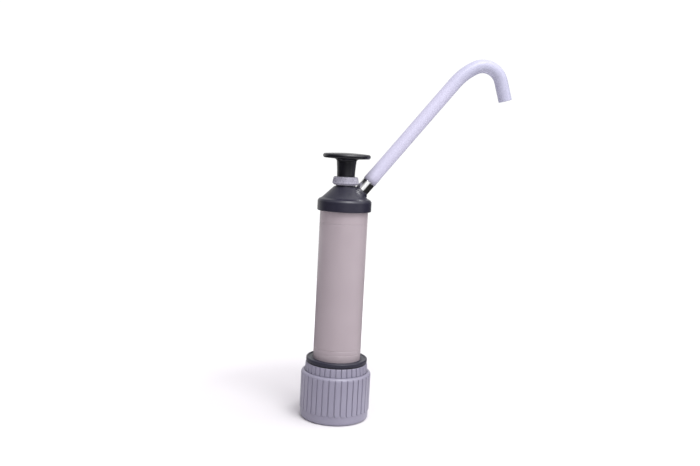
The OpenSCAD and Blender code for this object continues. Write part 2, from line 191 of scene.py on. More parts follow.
class Paint:
    """A material under construction, around one Principled shader."""

    def __init__(self, name, **sockets):
        self.material = bpy.data.materials.new(name)
        self.material.use_nodes = True
        self.nodes = self.material.node_tree.nodes
        self.links = self.material.node_tree.links
        self.shader = self.nodes["Principled BSDF"]
        self.place = self.add("ShaderNodeTexCoord").outputs["Object"]
        for socket, value in sockets.items():
            self.shader.inputs[socket.replace("_", " ")].default_value = value

    def add(self, kind, **settings):
        node = self.nodes.new(kind)
        for key, value in settings.items():
            setattr(node, key, value)
        return node

    def noise(self, scale, detail, stretch=None):
        source = self.place
        if stretch:
            mapping = self.add("ShaderNodeMapping")
            mapping.inputs["Scale"].default_value = stretch
            self.links.new(source, mapping.inputs["Vector"])
            source = mapping.outputs["Vector"]
        node = self.add("ShaderNodeTexNoise")
        node.inputs["Scale"].default_value = scale
        node.inputs["Detail"].default_value = detail
        node.inputs["Roughness"].default_value = 0.55
        self.links.new(source, node.inputs["Vector"])
        return node.outputs["Fac"]

    def ramp(self, value, *stops):
        node = self.add("ShaderNodeValToRGB")
        ramp = node.color_ramp
        while len(ramp.elements) < len(stops):
            ramp.elements.new(0.5)
        for element, (position, colour) in zip(ramp.elements, stops):
            element.position = position
            element.color = colour
        self.links.new(value, node.inputs["Fac"])
        return node.outputs["Color"]

    def span(self, value, low, high, start=0.3, end=0.7):
        """Maps start to end, by default the usual reach of a noise, onto low to high."""
        node = self.add("ShaderNodeMapRange")
        node.inputs["From Min"].default_value = start
        node.inputs["From Max"].default_value = end
        node.inputs["To Min"].default_value = low
        node.inputs["To Max"].default_value = high
        self.links.new(value, node.inputs["Value"])
        return node.outputs["Result"]

    def math(self, operation, a, b):
        node = self.add("ShaderNodeMath", operation=operation)
        for socket, value in zip(node.inputs, (a, b)):
            if isinstance(value, (int, float)):
                socket.default_value = value
            else:
                self.links.new(value, socket)
        return node.outputs["Value"]

    def set(self, socket, value):
        self.links.new(value, self.shader.inputs[socket])

    def distance_from_axis(self):
        flat = self.add("ShaderNodeVectorMath", operation="MULTIPLY")
        flat.inputs[1].default_value = (1, 1, 0)
        self.links.new(self.place, flat.inputs[0])
        length = self.add("ShaderNodeVectorMath", operation="LENGTH")
        self.links.new(flat.outputs["Vector"], length.inputs[0])
        return length.outputs["Value"]

    def distance_from(self, point):
        offset = self.add("ShaderNodeVectorMath", operation="DISTANCE")
        offset.inputs[1].default_value = point
        self.links.new(self.place, offset.inputs[0])
        return offset.outputs["Value"]

    def dark_in_mirrors(self, distance, near, far):
        """Darkens, in glossy reflections only, what lies beyond near to far from the axis."""
        path = self.add("ShaderNodeLightPath")
        distant = self.span(distance, 0, 1, near, far)
        dark = self.add("ShaderNodeBsdfDiffuse")
        dark.inputs["Color"].default_value = (0.02, 0.02, 0.02, 1)
        mix = self.add("ShaderNodeMixShader")
        self.links.new(self.math("MULTIPLY", distant, path.outputs["Is Glossy Ray"]), mix.inputs["Fac"])
        self.links.new(self.shader.outputs[0], mix.inputs[1])
        self.links.new(dark.outputs[0], mix.inputs[2])
        self.links.new(mix.outputs[0], self.nodes["Material Output"].inputs["Surface"])

    def bump(self, height, distance):
        node = self.add("ShaderNodeBump")
        node.inputs["Distance"].default_value = distance
        self.links.new(height, node.inputs["Height"])
        self.set("Normal", node.outputs["Normal"])


def moulded(name, dark, light, rough, grain=0.02 * MM, grain_scale=2600, sheen=0.5,
            marks=(1, 1, 1), rubbed=0.04):
    """Moulded plastic: faint cloudy colour, a fine grain, and gloss rubbed uneven by handling.

    grain is the bump's height. marks stretches the rubbed patches and rubbed is their effect on the gloss.
    """
    paint = Paint(name, Specular_IOR_Level=sheen)
    paint.set("Base Color", paint.ramp(paint.noise(38, 1), (0.25, dark), (0.75, light)))
    broad = paint.span(paint.noise(70, 2), rough - 0.04, rough + 0.04)
    fine = paint.span(paint.noise(600, 2, stretch=marks), -rubbed, rubbed)
    paint.set("Roughness", paint.math("ADD", broad, fine))
    paint.bump(paint.noise(grain_scale, 2), grain)
    return paint.material


def cup_plastic():
    return moulded("cup_grey", srgb(131, 128, 145), srgb(139, 136, 153), 0.40, 0.015 * MM, 2200)


def black_plastic():
    return moulded("black_satin", srgb(33, 32, 46), srgb(40, 39, 53), 0.38, 0.006 * MM, 3000, 0.38)


# Blacker than black_satin: partly the knob's own glossier plastic, partly painted shade for its neck under the
# disc.
def knob_plastic():
    return moulded("knob_black", srgb(16, 16, 24), srgb(22, 22, 31), 0.34, 0.002 * MM, 2600, 0.5)


def barrel_plastic():
    return moulded("barrel_taupe", srgb(158, 147, 152), srgb(163, 152, 157), 0.34, 0.002 * MM, 1800,
                   marks=(1, 1, 0.06), rubbed=0.015)


def nut_metal():
    paint = Paint("nut_grey", Metallic=0.1, Specular_IOR_Level=0.5)
    grain = paint.noise(900, 3)
    paint.set("Base Color", paint.ramp(grain, (0.35, srgb(144, 142, 155)), (0.65, srgb(180, 178, 192))))
    paint.set("Roughness", paint.span(grain, 0.38, 0.58))
    paint.bump(grain, 0.06 * MM)
    return paint.material


def polished_steel():
    paint = Paint("polished_steel", Metallic=1.0)
    streak = paint.noise(900, 2, stretch=(1, 1, 0.05))
    paint.set("Base Color", paint.ramp(streak, (0.3, srgb(205, 206, 208)), (0.7, srgb(222, 222, 222))))
    paint.set("Roughness", paint.span(streak, 0.05, 0.12))
    return paint.material


def drawn_steel():
    paint = Paint("drawn_steel", Metallic=1.0)
    streak = paint.noise(700, 3, stretch=(1, 1, 0.04))
    paint.set("Base Color", paint.ramp(streak, (0.3, srgb(168, 170, 173)), (0.7, srgb(196, 198, 200))))
    paint.set("Roughness", paint.span(streak, 0.22, 0.36))
    paint.bump(streak, 0.01 * MM)
    return paint.material


def turned_brass():
    paint = Paint("turned_brass", Metallic=1.0)
    streak = paint.noise(800, 3, stretch=(0.1, 0.1, 1))
    paint.set("Base Color", paint.ramp(streak, (0.3, srgb(182, 146, 84)), (0.7, srgb(206, 172, 108))))
    paint.set("Roughness", paint.span(streak, 0.2, 0.34))
    paint.bump(streak, 0.01 * MM)
    return paint.material


def seal_rubber():
    return moulded("seal_rubber", srgb(24, 24, 27), srgb(34, 34, 37), 0.62, 0.03 * MM, 1800, 0.35)


def filter_white():
    return moulded("filter_white", srgb(214, 214, 208), srgb(226, 226, 220), 0.42)


def valve_amber():
    return moulded("valve_amber", srgb(190, 176, 140), srgb(204, 190, 156), 0.4)


def fired_ceramic():
    return moulded("fired_ceramic", srgb(218, 210, 192), srgb(234, 228, 212), 0.85, 0.08 * MM, 1400, 0.3)


def carbon_grains():
    paint = Paint("carbon_grains", Specular_IOR_Level=0.4)
    cells = paint.add("ShaderNodeTexVoronoi")
    cells.inputs["Scale"].default_value = 900
    paint.links.new(paint.place, cells.inputs["Vector"])
    shade = cells.outputs["Distance"]
    paint.set("Base Color", paint.ramp(shade, (0.0, srgb(44, 44, 46)), (0.7, srgb(12, 12, 13))))
    paint.set("Roughness", paint.span(shade, 0.45, 0.9, 0, 0.8))
    paint.bump(shade, 0.5 * MM)
    return paint.material


def open_foam():
    paint = Paint("open_foam", Specular_IOR_Level=0.2)
    cells = paint.add("ShaderNodeTexVoronoi", feature="F2")
    cells.inputs["Scale"].default_value = 700
    paint.links.new(paint.place, cells.inputs["Vector"])
    shade = cells.outputs["Distance"]
    paint.set("Base Color", paint.ramp(shade, (0.2, srgb(30, 31, 34)), (0.8, srgb(86, 88, 92))))
    paint.set("Roughness", paint.span(shade, 0.8, 0.98, 0, 0.8))
    paint.bump(shade, 0.6 * MM)
    return paint.material


def milky_silicone():
    """Cloudy silicone, opaque here: painted shade stands for the stub's grey behind its foot and darkens the hook.
    """
    paint = Paint("milky_silicone", IOR=1.41, Specular_IOR_Level=0.4)
    from_foot = paint.distance_from(spout_frame() @ Vector((0, 0, TUBE_START)))
    uneven = paint.math("ADD", from_foot, paint.span(paint.noise(60, 2), -0.4 * MM, 0.4 * MM))
    # the darker colours near the foot and on the hook are painted shade; the rest is the silicone's own tint
    tone_and_painted_shade = (                      # distance from the middle of the tube's foot, in mm, and colour
        (5.4, srgb(118, 117, 132)), (6.3, srgb(144, 142, 158)), (7.6, srgb(180, 178, 197)),
        (12, srgb(190, 188, 208)), (100, srgb(190, 188, 208)), (128, srgb(177, 177, 197)),
    )
    near, far = tone_and_painted_shade[0][0], tone_and_painted_shade[-1][0]
    stops = [((reach - near) / (far - near), tint) for reach, tint in tone_and_painted_shade]
    paint.set("Base Color", paint.ramp(paint.span(uneven, 0, 1, near * MM, far * MM), *stops))
    paint.set("Roughness", paint.span(paint.noise(60, 1), 0.30, 0.36))
    paint.bump(paint.noise(160, 1), 0.02 * MM)
    return paint.material


MAKERS = {
    "cup_grey": cup_plastic,
    "nut_grey": nut_metal,
    "black_plastic": black_plastic,
    "knob_black": knob_plastic,
    "barrel_taupe": barrel_plastic,
    "milky_tube": milky_silicone,
    "polished_steel": polished_steel,
    "steel": drawn_steel,
    "brass": turned_brass,
    "seal_rubber": seal_rubber,
    "filter_white": filter_white,
    "valve_amber": valve_amber,
    "ceramic": fired_ceramic,
    "carbon": carbon_grains,
    "foam": open_foam,
}
materials = {slot: make() for slot, make in MAKERS.items()}


def finish_with(obj, slot):
    obj.data.materials.clear()
    obj.data.materials.append(materials[slot])


for part in frame["record"]["subparts"]:
    finish_with(frame["nodes"][part["node"]], part["material_slot"])


# ---------------------------------------------------------------- camera, floor and light

PHOTO_WIDTH = 700
FOCAL = 791.5                      # in the same unit as PHOTO_WIDTH
SENSOR = 36                        # in mm
DISTANCE = 667 * MM                # from the pump's axis
CAMERA_HEIGHT = 234.2 * MM
SPOUT_AWAY = math.radians(10)      # the spout leans this far away from the camera
PITCH = math.radians(6.36)
YAW = math.radians(0.51)
LEAN = math.radians(3.0)


def make_camera():
    turn = Matrix.Rotation(-SPOUT_AWAY, 3, "Z")
    level = math.cos(PITCH)
    ahead = turn @ Vector((math.sin(YAW) * level, math.cos(YAW) * level, -math.sin(PITCH)))
    right = turn @ Vector((math.cos(YAW), -math.sin(YAW), 0))
    up = right.cross(ahead)
    across = right * math.cos(LEAN) + up * math.sin(LEAN)
    upward = up * math.cos(LEAN) - right * math.sin(LEAN)
    camera = bpy.data.cameras.new("camera")
    camera.sensor_width = SENSOR
    camera.lens = SENSOR * FOCAL / PHOTO_WIDTH
    camera.clip_start = 0.01
    obj = bpy.data.objects.new("camera", camera)
    basis = Matrix((across, upward, -ahead)).transposed().to_4x4()
    basis.translation = turn @ Vector((0, -DISTANCE, 0)) + Vector((0, 0, CAMERA_HEIGHT))
    obj.matrix_world = basis
    scene.collection.objects.link(obj)
    scene.camera = obj


def make_floor():
    """A round white table, much larger than the base, with painted shade greying it round the pump."""
    reach, height, edge = 0.7, 4 * MM, 1 * MM
    profile = outline((0, -height), (reach, -height, edge), (reach, 0, edge), (0, 0), closed=False)
    floor = lathe("floor", profile, None, 96, closed=False)
    paint = Paint("floor_white", Roughness=0.7, Specular_IOR_Level=0.2)
    distance = paint.distance_from_axis()
    uneven = paint.math("ADD", distance, paint.span(paint.noise(6, 2), -0.01, 0.01))
    # painted shade: greyer round the pump, where its shadow falls, and near white from 0.40 m out
    middle, rest = (0.74, 0.725, 0.74, 1), (0.96, 0.96, 0.96, 1)
    paint.set("Base Color", paint.ramp(uneven, (0.14, middle), (0.40, rest)))
    paint.dark_in_mirrors(distance, 0.14, 0.24)
    floor.data.materials.append(paint.material)


def toward(azimuth, elevation):
    """Direction seen from the object: azimuth 0 is the camera's side and turns to the camera's right."""
    a = math.radians(azimuth) + SPOUT_AWAY
    e = math.radians(elevation)
    return Vector((math.sin(math.pi - a) * math.cos(e), -math.cos(a) * math.cos(e), math.sin(e)))


def add_light(name, data, azimuth, elevation):
    """Puts a light into the scene, shining at the pump from a direction."""
    obj = bpy.data.objects.new(name, data)
    obj.rotation_euler = toward(azimuth, elevation).to_track_quat("Z", "Y").to_euler()
    scene.collection.objects.link(obj)
    return obj


def key_light():
    """A very wide sun, high on the camera's right, which gives the soft shadow."""
    data = bpy.data.lights.new("key", "SUN")
    data.angle = math.radians(90)
    data.energy = 2.2
    add_light("key", data, 32, 58)


def strip_light():
    """A wide soft box over the camera."""
    azimuth, elevation, distance, aim_height = 10, 60, 1.1, 0.12
    data = bpy.data.lights.new("strip", "AREA")
    data.shape = "RECTANGLE"
    data.size = 0.5
    data.size_y = 0.26
    data.energy = 7.0
    obj = add_light("strip", data, azimuth, elevation)
    obj.location = toward(azimuth, elevation) * distance + Vector((0, 0, aim_height))


class Sky:
    """Builds the world: a graph of background shaders chosen by direction and kind of ray."""

    def __init__(self):
        self.world = bpy.data.worlds.new("studio")
        self.world.use_nodes = True
        scene.world = self.world
        self.nodes = self.world.node_tree.nodes
        self.links = self.world.node_tree.links
        self.nodes.remove(self.nodes["Background"])
        self.direction = self.nodes.new("ShaderNodeTexCoord").outputs["Generated"]
        self.path = self.nodes.new("ShaderNodeLightPath")

    def glow(self, toward_it, inner, outer, strength):
        """Strength round a direction, fading out between two angles in degrees."""
        dot = self.nodes.new("ShaderNodeVectorMath")
        dot.operation = "DOT_PRODUCT"
        dot.inputs[1].default_value = toward_it
        self.links.new(self.direction, dot.inputs[0])
        fall = self.nodes.new("ShaderNodeMapRange")
        fall.interpolation_type = "SMOOTHSTEP"
        fall.inputs["From Min"].default_value = math.cos(math.radians(outer))
        fall.inputs["From Max"].default_value = math.cos(math.radians(inner))
        fall.inputs["To Max"].default_value = strength
        self.links.new(dot.outputs["Value"], fall.inputs["Value"])
        return fall.outputs["Result"]

    def total(self, base, *glows):
        """Sum of a uniform strength and some glows."""
        for glow in glows:
            plus = self.nodes.new("ShaderNodeMath")
            for socket, value in zip(plus.inputs, (base, glow)):
                if isinstance(value, float):
                    socket.default_value = value
                else:
                    self.links.new(value, socket)
            base = plus.outputs["Value"]
        return base

    def background(self, colour, strength):
        shader = self.nodes.new("ShaderNodeBackground")
        shader.inputs["Color"].default_value = colour
        if isinstance(strength, float):
            shader.inputs["Strength"].default_value = strength
        else:
            self.links.new(strength, shader.inputs["Strength"])
        return shader.outputs[0]

    def choose(self, ray, otherwise, then):
        """One shader for rays of a kind and another for the rest."""
        mix = self.nodes.new("ShaderNodeMixShader")
        self.links.new(self.path.outputs[ray], mix.inputs["Fac"])
        self.links.new(otherwise, mix.inputs[1])
        self.links.new(then, mix.inputs[2])
        return mix.outputs[0]


def make_world():
    """White backdrop to the eye, an even cool fill for the shades, and a studio in the reflections."""
    sky = Sky()
    fill = sky.background((0.97, 0.93, 1.0, 1), 0.52)
    behind = sky.glow(-toward(0, 8), 35, 62, 0.85)
    overhead = sky.glow(toward(20, 84), 40, 75, 0.8)
    front = sky.glow(toward(-4, 30), 26, 40, 1.3)
    window = sky.glow(toward(50, 10), 10, 24, 1.3)
    room = sky.background((1, 1, 1, 1), sky.total(0.05, behind, overhead, front, window))
    backdrop = sky.background((1, 1, 1, 1), 1.05)
    surface = sky.choose("Is Camera Ray", sky.choose("Is Glossy Ray", fill, room), backdrop)
    sky.links.new(surface, sky.nodes["World Output"].inputs["Surface"])


scene.view_settings.view_transform = "Standard"
make_camera()
make_floor()
make_world()
key_light()
strip_light()


# ---------------------------------------------------------------- pieces: shared shapes

SCREW_PITCH = 4 * MM               # one turn of the base, as the joint's own ratio has it


def ridge(angle, z, phase, crest, foot):
    """Height, 0 to 1, of a right-handed screw thread's ridge with these half-widths."""
    along = (z / SCREW_PITCH - angle / TAU - phase + 0.5) % 1 - 0.5
    return smooth((foot - abs(along) * SCREW_PITCH) / (foot - crest))


def fade(z, low, high, over):
    """1 between two levels, falling to 0 at both."""
    return smooth((z - low) / over) * smooth((high - z) / over)


def spread(start, stop, step):
    """Even values from start to stop, both included."""
    count = max(1, round(abs(stop - start) / step))
    return [start + (stop - start) * k / count for k in range(count + 1)]


def ring_at(angles, r, z):
    return [Vector((r * math.cos(a), r * math.sin(a), z)) for a in angles]


def skin(name, rings, body, closed=True, **tags):
    """Joins rings of points into a surface. Neighbouring rings may differ in count by a whole factor."""
    verts, index = [], []
    for ring in rings:
        index.append(list(range(len(verts), len(verts) + len(ring))))
        verts += ring
    faces = []
    for i in range(len(rings) if closed else len(rings) - 1):
        few, many = sorted((index[i], index[(i + 1) % len(rings)]), key=len)
        if len(many) == 1:
            continue
        if len(few) == 1:
            faces += [(few[0], many[k], many[(k + 1) % len(many)]) for k in range(len(many))]
            continue
        step = len(many) // len(few)
        for k in range(len(few)):
            edge = [many[(k * step + j) % len(many)] for j in range(step + 1)]
            faces.append([few[k]] + edge + [few[(k + 1) % len(few)]])
    return mesh_object(name, verts, faces, body, **tags)


def carve(obj, *cutters):
    """Takes the cutters out of a piece for good."""
    for cutter in cutters:
        boolean = obj.modifiers.new("cut", "BOOLEAN")
        boolean.operation = "DIFFERENCE"
        boolean.solver = "EXACT"
        boolean.object = cutter
        bpy.context.view_layer.update()
        depsgraph = bpy.context.evaluated_depsgraph_get()
        result = bpy.data.meshes.new_from_object(obj.evaluated_get(depsgraph))
        obj.modifiers.clear()
        old = obj.data
        obj.data = result
        bpy.data.meshes.remove(old)
        bpy.data.objects.remove(cutter)
    obj.data.shade_smooth()
    obj.data.set_sharp_from_angle(angle=SHARP_EDGE)


def prisms(name, outlines, low, high):
    """Cutter of upright prisms over closed outlines."""
    verts, faces = [], []
    for points in outlines:
        start, count = len(verts), len(points)
        verts += [Vector((x, y, low)) for x, y in points] + [Vector((x, y, high)) for x, y in points]
        faces.append(list(range(start, start + count))[::-1])
        faces.append(list(range(start + count, start + 2 * count)))
        for k in range(count):
            n = (k + 1) % count
            faces.append((start + k, start + n, start + count + n, start + count + k))
    return mesh_object(name, verts, faces, None)


def turned(points, angle):
    c, s = math.cos(angle), math.sin(angle)
    return [(x * c - y * s, x * s + y * c) for x, y in points]


# ---------------------------------------------------------------- pieces: base cup

RIBS = 36
LAND = 0.9 * MM                    # height of a rib above its grooves
GROOVE_HALF = 0.28 * MM
FLANK = 0.32 * MM
END_ROUND = 1.3 * MM
FOOT_INSET = 0.7 * MM              # the plain foot is this much narrower than the ribs
FOOT_HEIGHT = 8 * MM
FOOT_CORNER = 2.5 * MM
SHOULDER_ROUND = 3 * MM
COLLAR_HEIGHT = 10 * MM
CUP_FLOOR = 4 * MM


def rib_columns(radius):
    """Angles of the mesh columns round the ribs, closer together at the grooves."""
    pitch = TAU / RIBS
    half = [0, 0.22, 0.34, 0.46, 0.60, 0.85, 1.25, 1.85]
    steps = [x * MM / radius for x in half]
    one = steps + [pitch / 2] + [pitch - s for s in steps[:0:-1]]
    return [i * pitch + a for i in range(RIBS) for a in one]


def rib_height(angle, radius, from_end):
    """Height of the ribs, 0 to 1, with the corners at a rib's end rounded."""
    pitch = TAU / RIBS
    across = abs((angle + pitch / 2) % pitch - pitch / 2) * radius
    widen = 0
    if from_end < END_ROUND:
        rest = END_ROUND - max(0, from_end)
        widen = END_ROUND - math.sqrt(max(0, END_ROUND**2 - rest**2))
    return smooth((across - GROOVE_HALF - widen) / FLANK)


def cup_outside(radius, top):
    """Rows up the outside.

    Each has the radius and level of the groove's floor, the direction the ribs rise in, their height, the
    distance to their end, and how far the grooves are filled there, 0 to 1.
    """
    shoulder_r, shoulder_z = radius - SHOULDER_ROUND, top - COLLAR_HEIGHT
    bend = SHOULDER_ROUND - LAND
    rows = foot_rows(radius - FOOT_INSET) + wall_rows(radius - FOOT_INSET, radius - LAND)
    length = bend * math.pi / 2
    for k in range(1, 15):
        a = math.pi / 2 * k / 14
        to_end = length - bend * a
        keep = 0.35 + 0.65 * smooth(to_end / (0.35 * MM))
        rows.append((
            shoulder_r + bend * math.cos(a), shoulder_z + bend * math.sin(a),
            math.cos(a), math.sin(a), LAND * keep, END_ROUND, smooth(k / 6),
        ))
    collar_r, collar_z = shoulder_r - LAND, shoulder_z + bend
    for r, z in ((shoulder_r - 0.3 * MM, collar_z), (collar_r + 0.12 * MM, collar_z + 0.08 * MM)):
        rows.append((r, z, 0.4, 0.6, 0.2 * LAND, 0, 1))
    return rows + collar_rows(collar_r, collar_z, top)


def foot_rows(foot_r):
    """The plain foot, with its rounded lower corner."""
    rows = []
    for k in range(9):
        a = math.pi / 2 * (k / 8 - 1)
        r = foot_r - FOOT_CORNER + FOOT_CORNER * math.cos(a)
        rows.append((r, FOOT_CORNER + FOOT_CORNER * math.sin(a), 1, 0, 0, 0, 0))
    return rows + [(foot_r, z * MM, 1, 0, 0, 0, 0) for z in (4, 6, 7.4, 7.9)]


def wall_rows(foot_r, floor_r):
    """The ribbed wall, with more rows where the ribs start."""
    rows = []
    for z in (8.05, 8.15, 8.25, 8.38, 8.55, 8.75, 9.0, 9.35, 9.8, 13, 18, 23, 28, 33, 37, 38):
        height = z * MM - FOOT_HEIGHT
        blend = smooth(height / (0.4 * MM))
        r = foot_r + (floor_r - foot_r) * blend
        rows.append((r, z * MM, 1, 0, LAND * blend, height, 0))
    return rows


def collar_rows(collar_r, collar_z, top):
    """The narrower ribbed collar, leaning inwards a little, with its rounded rim."""
    rows = []
    rim = 0.6 * MM
    start, full = 0.35, 7.9        # in mm above the shoulder: where the ribs start, and the collar's top
    for h in (start, 0.6, 0.8, 1.0, 1.25, 1.6, 2.2, 4.0, 6.0, 7.3, 7.45, 7.6, 7.72, 7.82, 7.88, full):
        z = min(top, collar_z + h * MM)
        lean = 0.6 * MM * h / full
        over = max(0, z - (top - rim))
        drop = rim - math.sqrt(max(0, rim**2 - over**2))
        lift = smooth((h - start) / 0.45)
        rows.append((collar_r - lean, z, 1, 0, max(0, LAND * lift - drop), (h - start) * MM * 1.6, 0))
    return rows


def cup_inside(bore, top, angles):
    """Rings down the bore, with its female thread, and across the floor to the middle."""
    thread_high, thread_low = top - 0.8 * MM, top - 9.6 * MM
    thread_depth, crest, foot = 0.95 * MM, 0.45 * MM, 0.95 * MM
    profile = [(bore + 0.12 * MM, top - 0.12 * MM)]
    profile += [(bore, z) for z in spread(top - 0.4 * MM, thread_low, 0.25 * MM)]
    profile += outline(
        (bore, top - COLLAR_HEIGHT), (bore, CUP_FLOOR, 1 * MM), (0, CUP_FLOOR), closed=False)
    rings = []
    for r, z in profile:
        if r < TINY:
            rings.append([Vector((0, 0, z))])
            continue
        thread = thread_depth * fade(z, thread_low, thread_high, 0.8 * MM)
        ring = []
        for a in angles:
            reach = r - thread * ridge(a, z, 0, crest, foot)
            ring.append(Vector((reach * math.cos(a), reach * math.sin(a), z)))
        rings.append(ring)
    return rings


def base_cup():
    radius, _, top = size_of("base_cup")
    bore = size_of("cartridge_shell")[0] + 0.4 * MM
    fine = rib_columns(radius)
    coarse = fine[::4]
    hub_r, recess_r, foot_r, recess = 8 * MM, 25 * MM, 25.6 * MM, 1.5 * MM
    under = outline(
        (0, 0), (hub_r, 0, 0.4 * MM), (hub_r, recess, 0.3 * MM), (recess_r, recess, 0.4 * MM),
        (recess_r, 0, 0.4 * MM), (foot_r, 0), steps=4, closed=False)
    rings = [[Vector((0, 0, 0))]]
    rings += [ring_at(coarse, r, z) for r, z in under[1:]]
    for r, z, out, up, height, to_end, filled in cup_outside(radius, top):
        ring = []
        for a in fine:
            share = rib_height(a, radius, to_end)
            lift = height * (share + (1 - share) * filled)
            reach = r + out * lift
            ring.append(Vector((reach * math.cos(a), reach * math.sin(a), z + up * lift)))
        rings.append(ring)
    rings.append(ring_at(coarse, bore + 0.5 * MM, top))
    rings += cup_inside(bore, top, coarse)
    cup = skin("ribbed_cup", rings, "base", closed=False, node="base_cup", slot="cup_grey")
    carve(cup, inlet_slots(), foot_notches())
    finish_with(cup, "cup_grey")


def inlet_slots():
    """Cutter of the water inlets: a ring of slots through the floor."""
    count = 12
    slot = stadium(10 * MM, 22 * MM, 1.2 * MM)
    below, above = -1 * MM, 5 * MM
    return prisms("slots", [turned(slot, TAU * k / count) for k in range(count)], below, above)


def foot_notches():
    """Cutter of the gaps in the foot's edge that let water in when the pump stands."""
    count = 4
    near, far, half = 24 * MM, 33 * MM, 3.5 * MM
    notch = [(near, -half), (far, -half), (far, half), (near, half)]
    below, above = -1 * MM, 0.8 * MM
    return prisms("notches", [turned(notch, TAU * (k + 0.5) / count) for k in range(count)], below, above)


def stadium(start, stop, half):
    """Slot outline along X with round ends."""
    points = []
    for centre, first in ((stop - half, -math.pi / 2), (start + half, math.pi / 2)):
        for k in range(9):
            a = first + math.pi * k / 8
            points.append((centre + half * math.cos(a), half * math.sin(a)))
    return points


# ---------------------------------------------------------------- pieces: flange, gasket, barrel

def flange_ring():
    radius, low, top = size_of("barrel_flange")
    inner = size_of("barrel_tube")[0]
    under = size_of("base_gasket")[2]
    crest = size_of("cartridge_shell")[0] + 0.3 * MM
    root = crest - 1.2 * MM
    skirt = [(root, z) for z in spread(low + 0.9 * MM, under - 0.9 * MM, 0.2 * MM)]
    profile = outline((inner, low), (root, low, 0.5 * MM), (root, low + 0.8 * MM), closed=False)
    profile += skirt
    profile += outline(
        (root, under - 0.5 * MM), (root, under, 0.3 * MM), (radius - 0.3 * MM, under, 0.15 * MM),
        (radius - 0.3 * MM, under + 0.7 * MM), (radius, under + 0.9 * MM, 0.2 * MM),
        (radius, top, 0.9 * MM), (radius - 1.7 * MM, top, 0.25 * MM),
        (radius - 2.1 * MM, top - 0.6 * MM, 0.25 * MM), (radius - 4.0 * MM, top - 0.6 * MM, 0.4 * MM),
        (radius - 4.4 * MM, top - 0.25 * MM, 0.3 * MM), (inner + 0.4 * MM, top - 0.25 * MM, 0.3 * MM),
        (inner + 0.1 * MM, top - 0.8 * MM), (inner, top - 1.0 * MM), closed=False)

    def threaded(a, r, z):
        if abs(r - root) > TINY or z > under - 0.4 * MM:
            return r, z
        depth = (crest - root) * fade(z, low + 0.8 * MM, under - 0.9 * MM, 0.9 * MM)
        return r + depth * ridge(a, z, 0.5, 0.55 * MM, 1.05 * MM), z

    ring = lathe("flange_ring", profile, "barrel", 180, shape=threaded, node="barrel_flange",
                 slot="black_plastic")
    finish_with(ring, "black_plastic")


def gasket():
    radius, low, top = size_of("base_gasket")
    edge = 0.3 * MM
    inner = radius - 1.2 * MM
    profile = outline((inner, low, edge), (radius, low, edge), (radius, top, edge), (inner, top, edge))
    ring = lathe("flat_gasket", profile, "gasket", 180, node="base_gasket", slot="seal_rubber")
    finish_with(ring, "seal_rubber")


def turned_line(r, z):
    """Corners of a fine line turned into the barrel at one level."""
    depth, half, floor_half = 0.22 * MM, 0.3 * MM, 0.06 * MM
    return [
        (r, z - half, 0.12 * MM), (r - depth, z - floor_half, floor_half),
        (r - depth, z + floor_half, floor_half), (r, z + half, 0.12 * MM),
    ]


def barrel():
    radius, low, top = size_of("barrel_tube")
    wall = 2 * MM
    flange_top = size_of("barrel_flange")[2]
    lines = [flange_top + 5.4 * MM, flange_top + 8.9 * MM, top - 13.8 * MM]
    corners = [(radius - wall, low, 0.2 * MM), (radius, low, 0.3 * MM)]
    for z in lines:
        corners += turned_line(radius, z)
    corners += [(radius, top, 0.4 * MM), (radius - wall, top, 0.2 * MM)]
    tube = lathe("barrel", outline(*corners, steps=4), "barrel", 180, node="barrel_tube",
                 slot="barrel_taupe")
    finish_with(tube, "barrel_taupe")


# ---------------------------------------------------------------- pieces: head and gland nut

def head_corners():
    """Profile of the cap, down the outside and up the inside, and the levels of the cone's two ends."""
    radius, low, top = size_of("head_cap")
    barrel_r, _, barrel_top = size_of("barrel_tube")
    cylinder_r, _, cylinder_top = size_of("pump_cylinder")
    bush_r, _, bush_top = size_of("rod_bush")
    packing_r = size_of("rod_packing")[0]
    ledge = size_of("head_gasket")[2]
    edge = barrel_top - 3.4 * MM
    lip = edge + 9.2 * MM
    cone = lip + 11.2 * MM
    neck_r = 8.2 * MM
    chamber_r = barrel_r - 2.7 * MM
    chamber_top = ledge + 4.5 * MM
    spigot_r = cylinder_r - 1.5 * MM
    corners = outline(
        (neck_r, top), (neck_r, cone + 0.02 * MM, 0.15 * MM), (9.5 * MM, cone, 0.35 * MM),
        (19.3 * MM, lip + 1.7 * MM, 1.2 * MM), (radius - 1.0 * MM, lip + 0.45 * MM, 0.45 * MM),
        (radius - 0.05 * MM, lip - 1.05 * MM, 0.5 * MM), (radius, lip - 1.8 * MM, 0.5 * MM),
        (radius, edge, 0.7 * MM), (barrel_r + 0.05 * MM, edge, 0.25 * MM), (barrel_r, ledge),
        (chamber_r, ledge), (chamber_r, chamber_top), (cylinder_r, chamber_top),
        (cylinder_r, cylinder_top), (spigot_r, cylinder_top), (spigot_r, low, 0.4 * MM),
        (9 * MM, low), (9 * MM, ledge + 2.5 * MM), (bush_r, chamber_top),
        (bush_r, bush_top), (packing_r, bush_top), (packing_r, top, 0.2 * MM), steps=5)
    return corners, lip, cone


def refined_cone(corners, lip, cone):
    """The profile with close points down the cone, for the boss to rise from."""
    profile = []
    for i, here in enumerate(corners):
        after = corners[(i + 1) % len(corners)]
        profile.append(here)
        above_lip = min(here[1], after[1]) > lip
        below_neck = here[1] < cone + 0.05 * MM
        inside_edge = max(here[0], after[0]) < 19.4 * MM
        length = math.dist(here, after)
        if above_lip and below_neck and inside_edge and length > 1 * MM:
            count = round(length / (0.3 * MM))
            for k in range(1, count):
                t = k / count
                profile.append((here[0] + (after[0] - here[0]) * t, here[1] + (after[1] - here[1]) * t))
    return profile


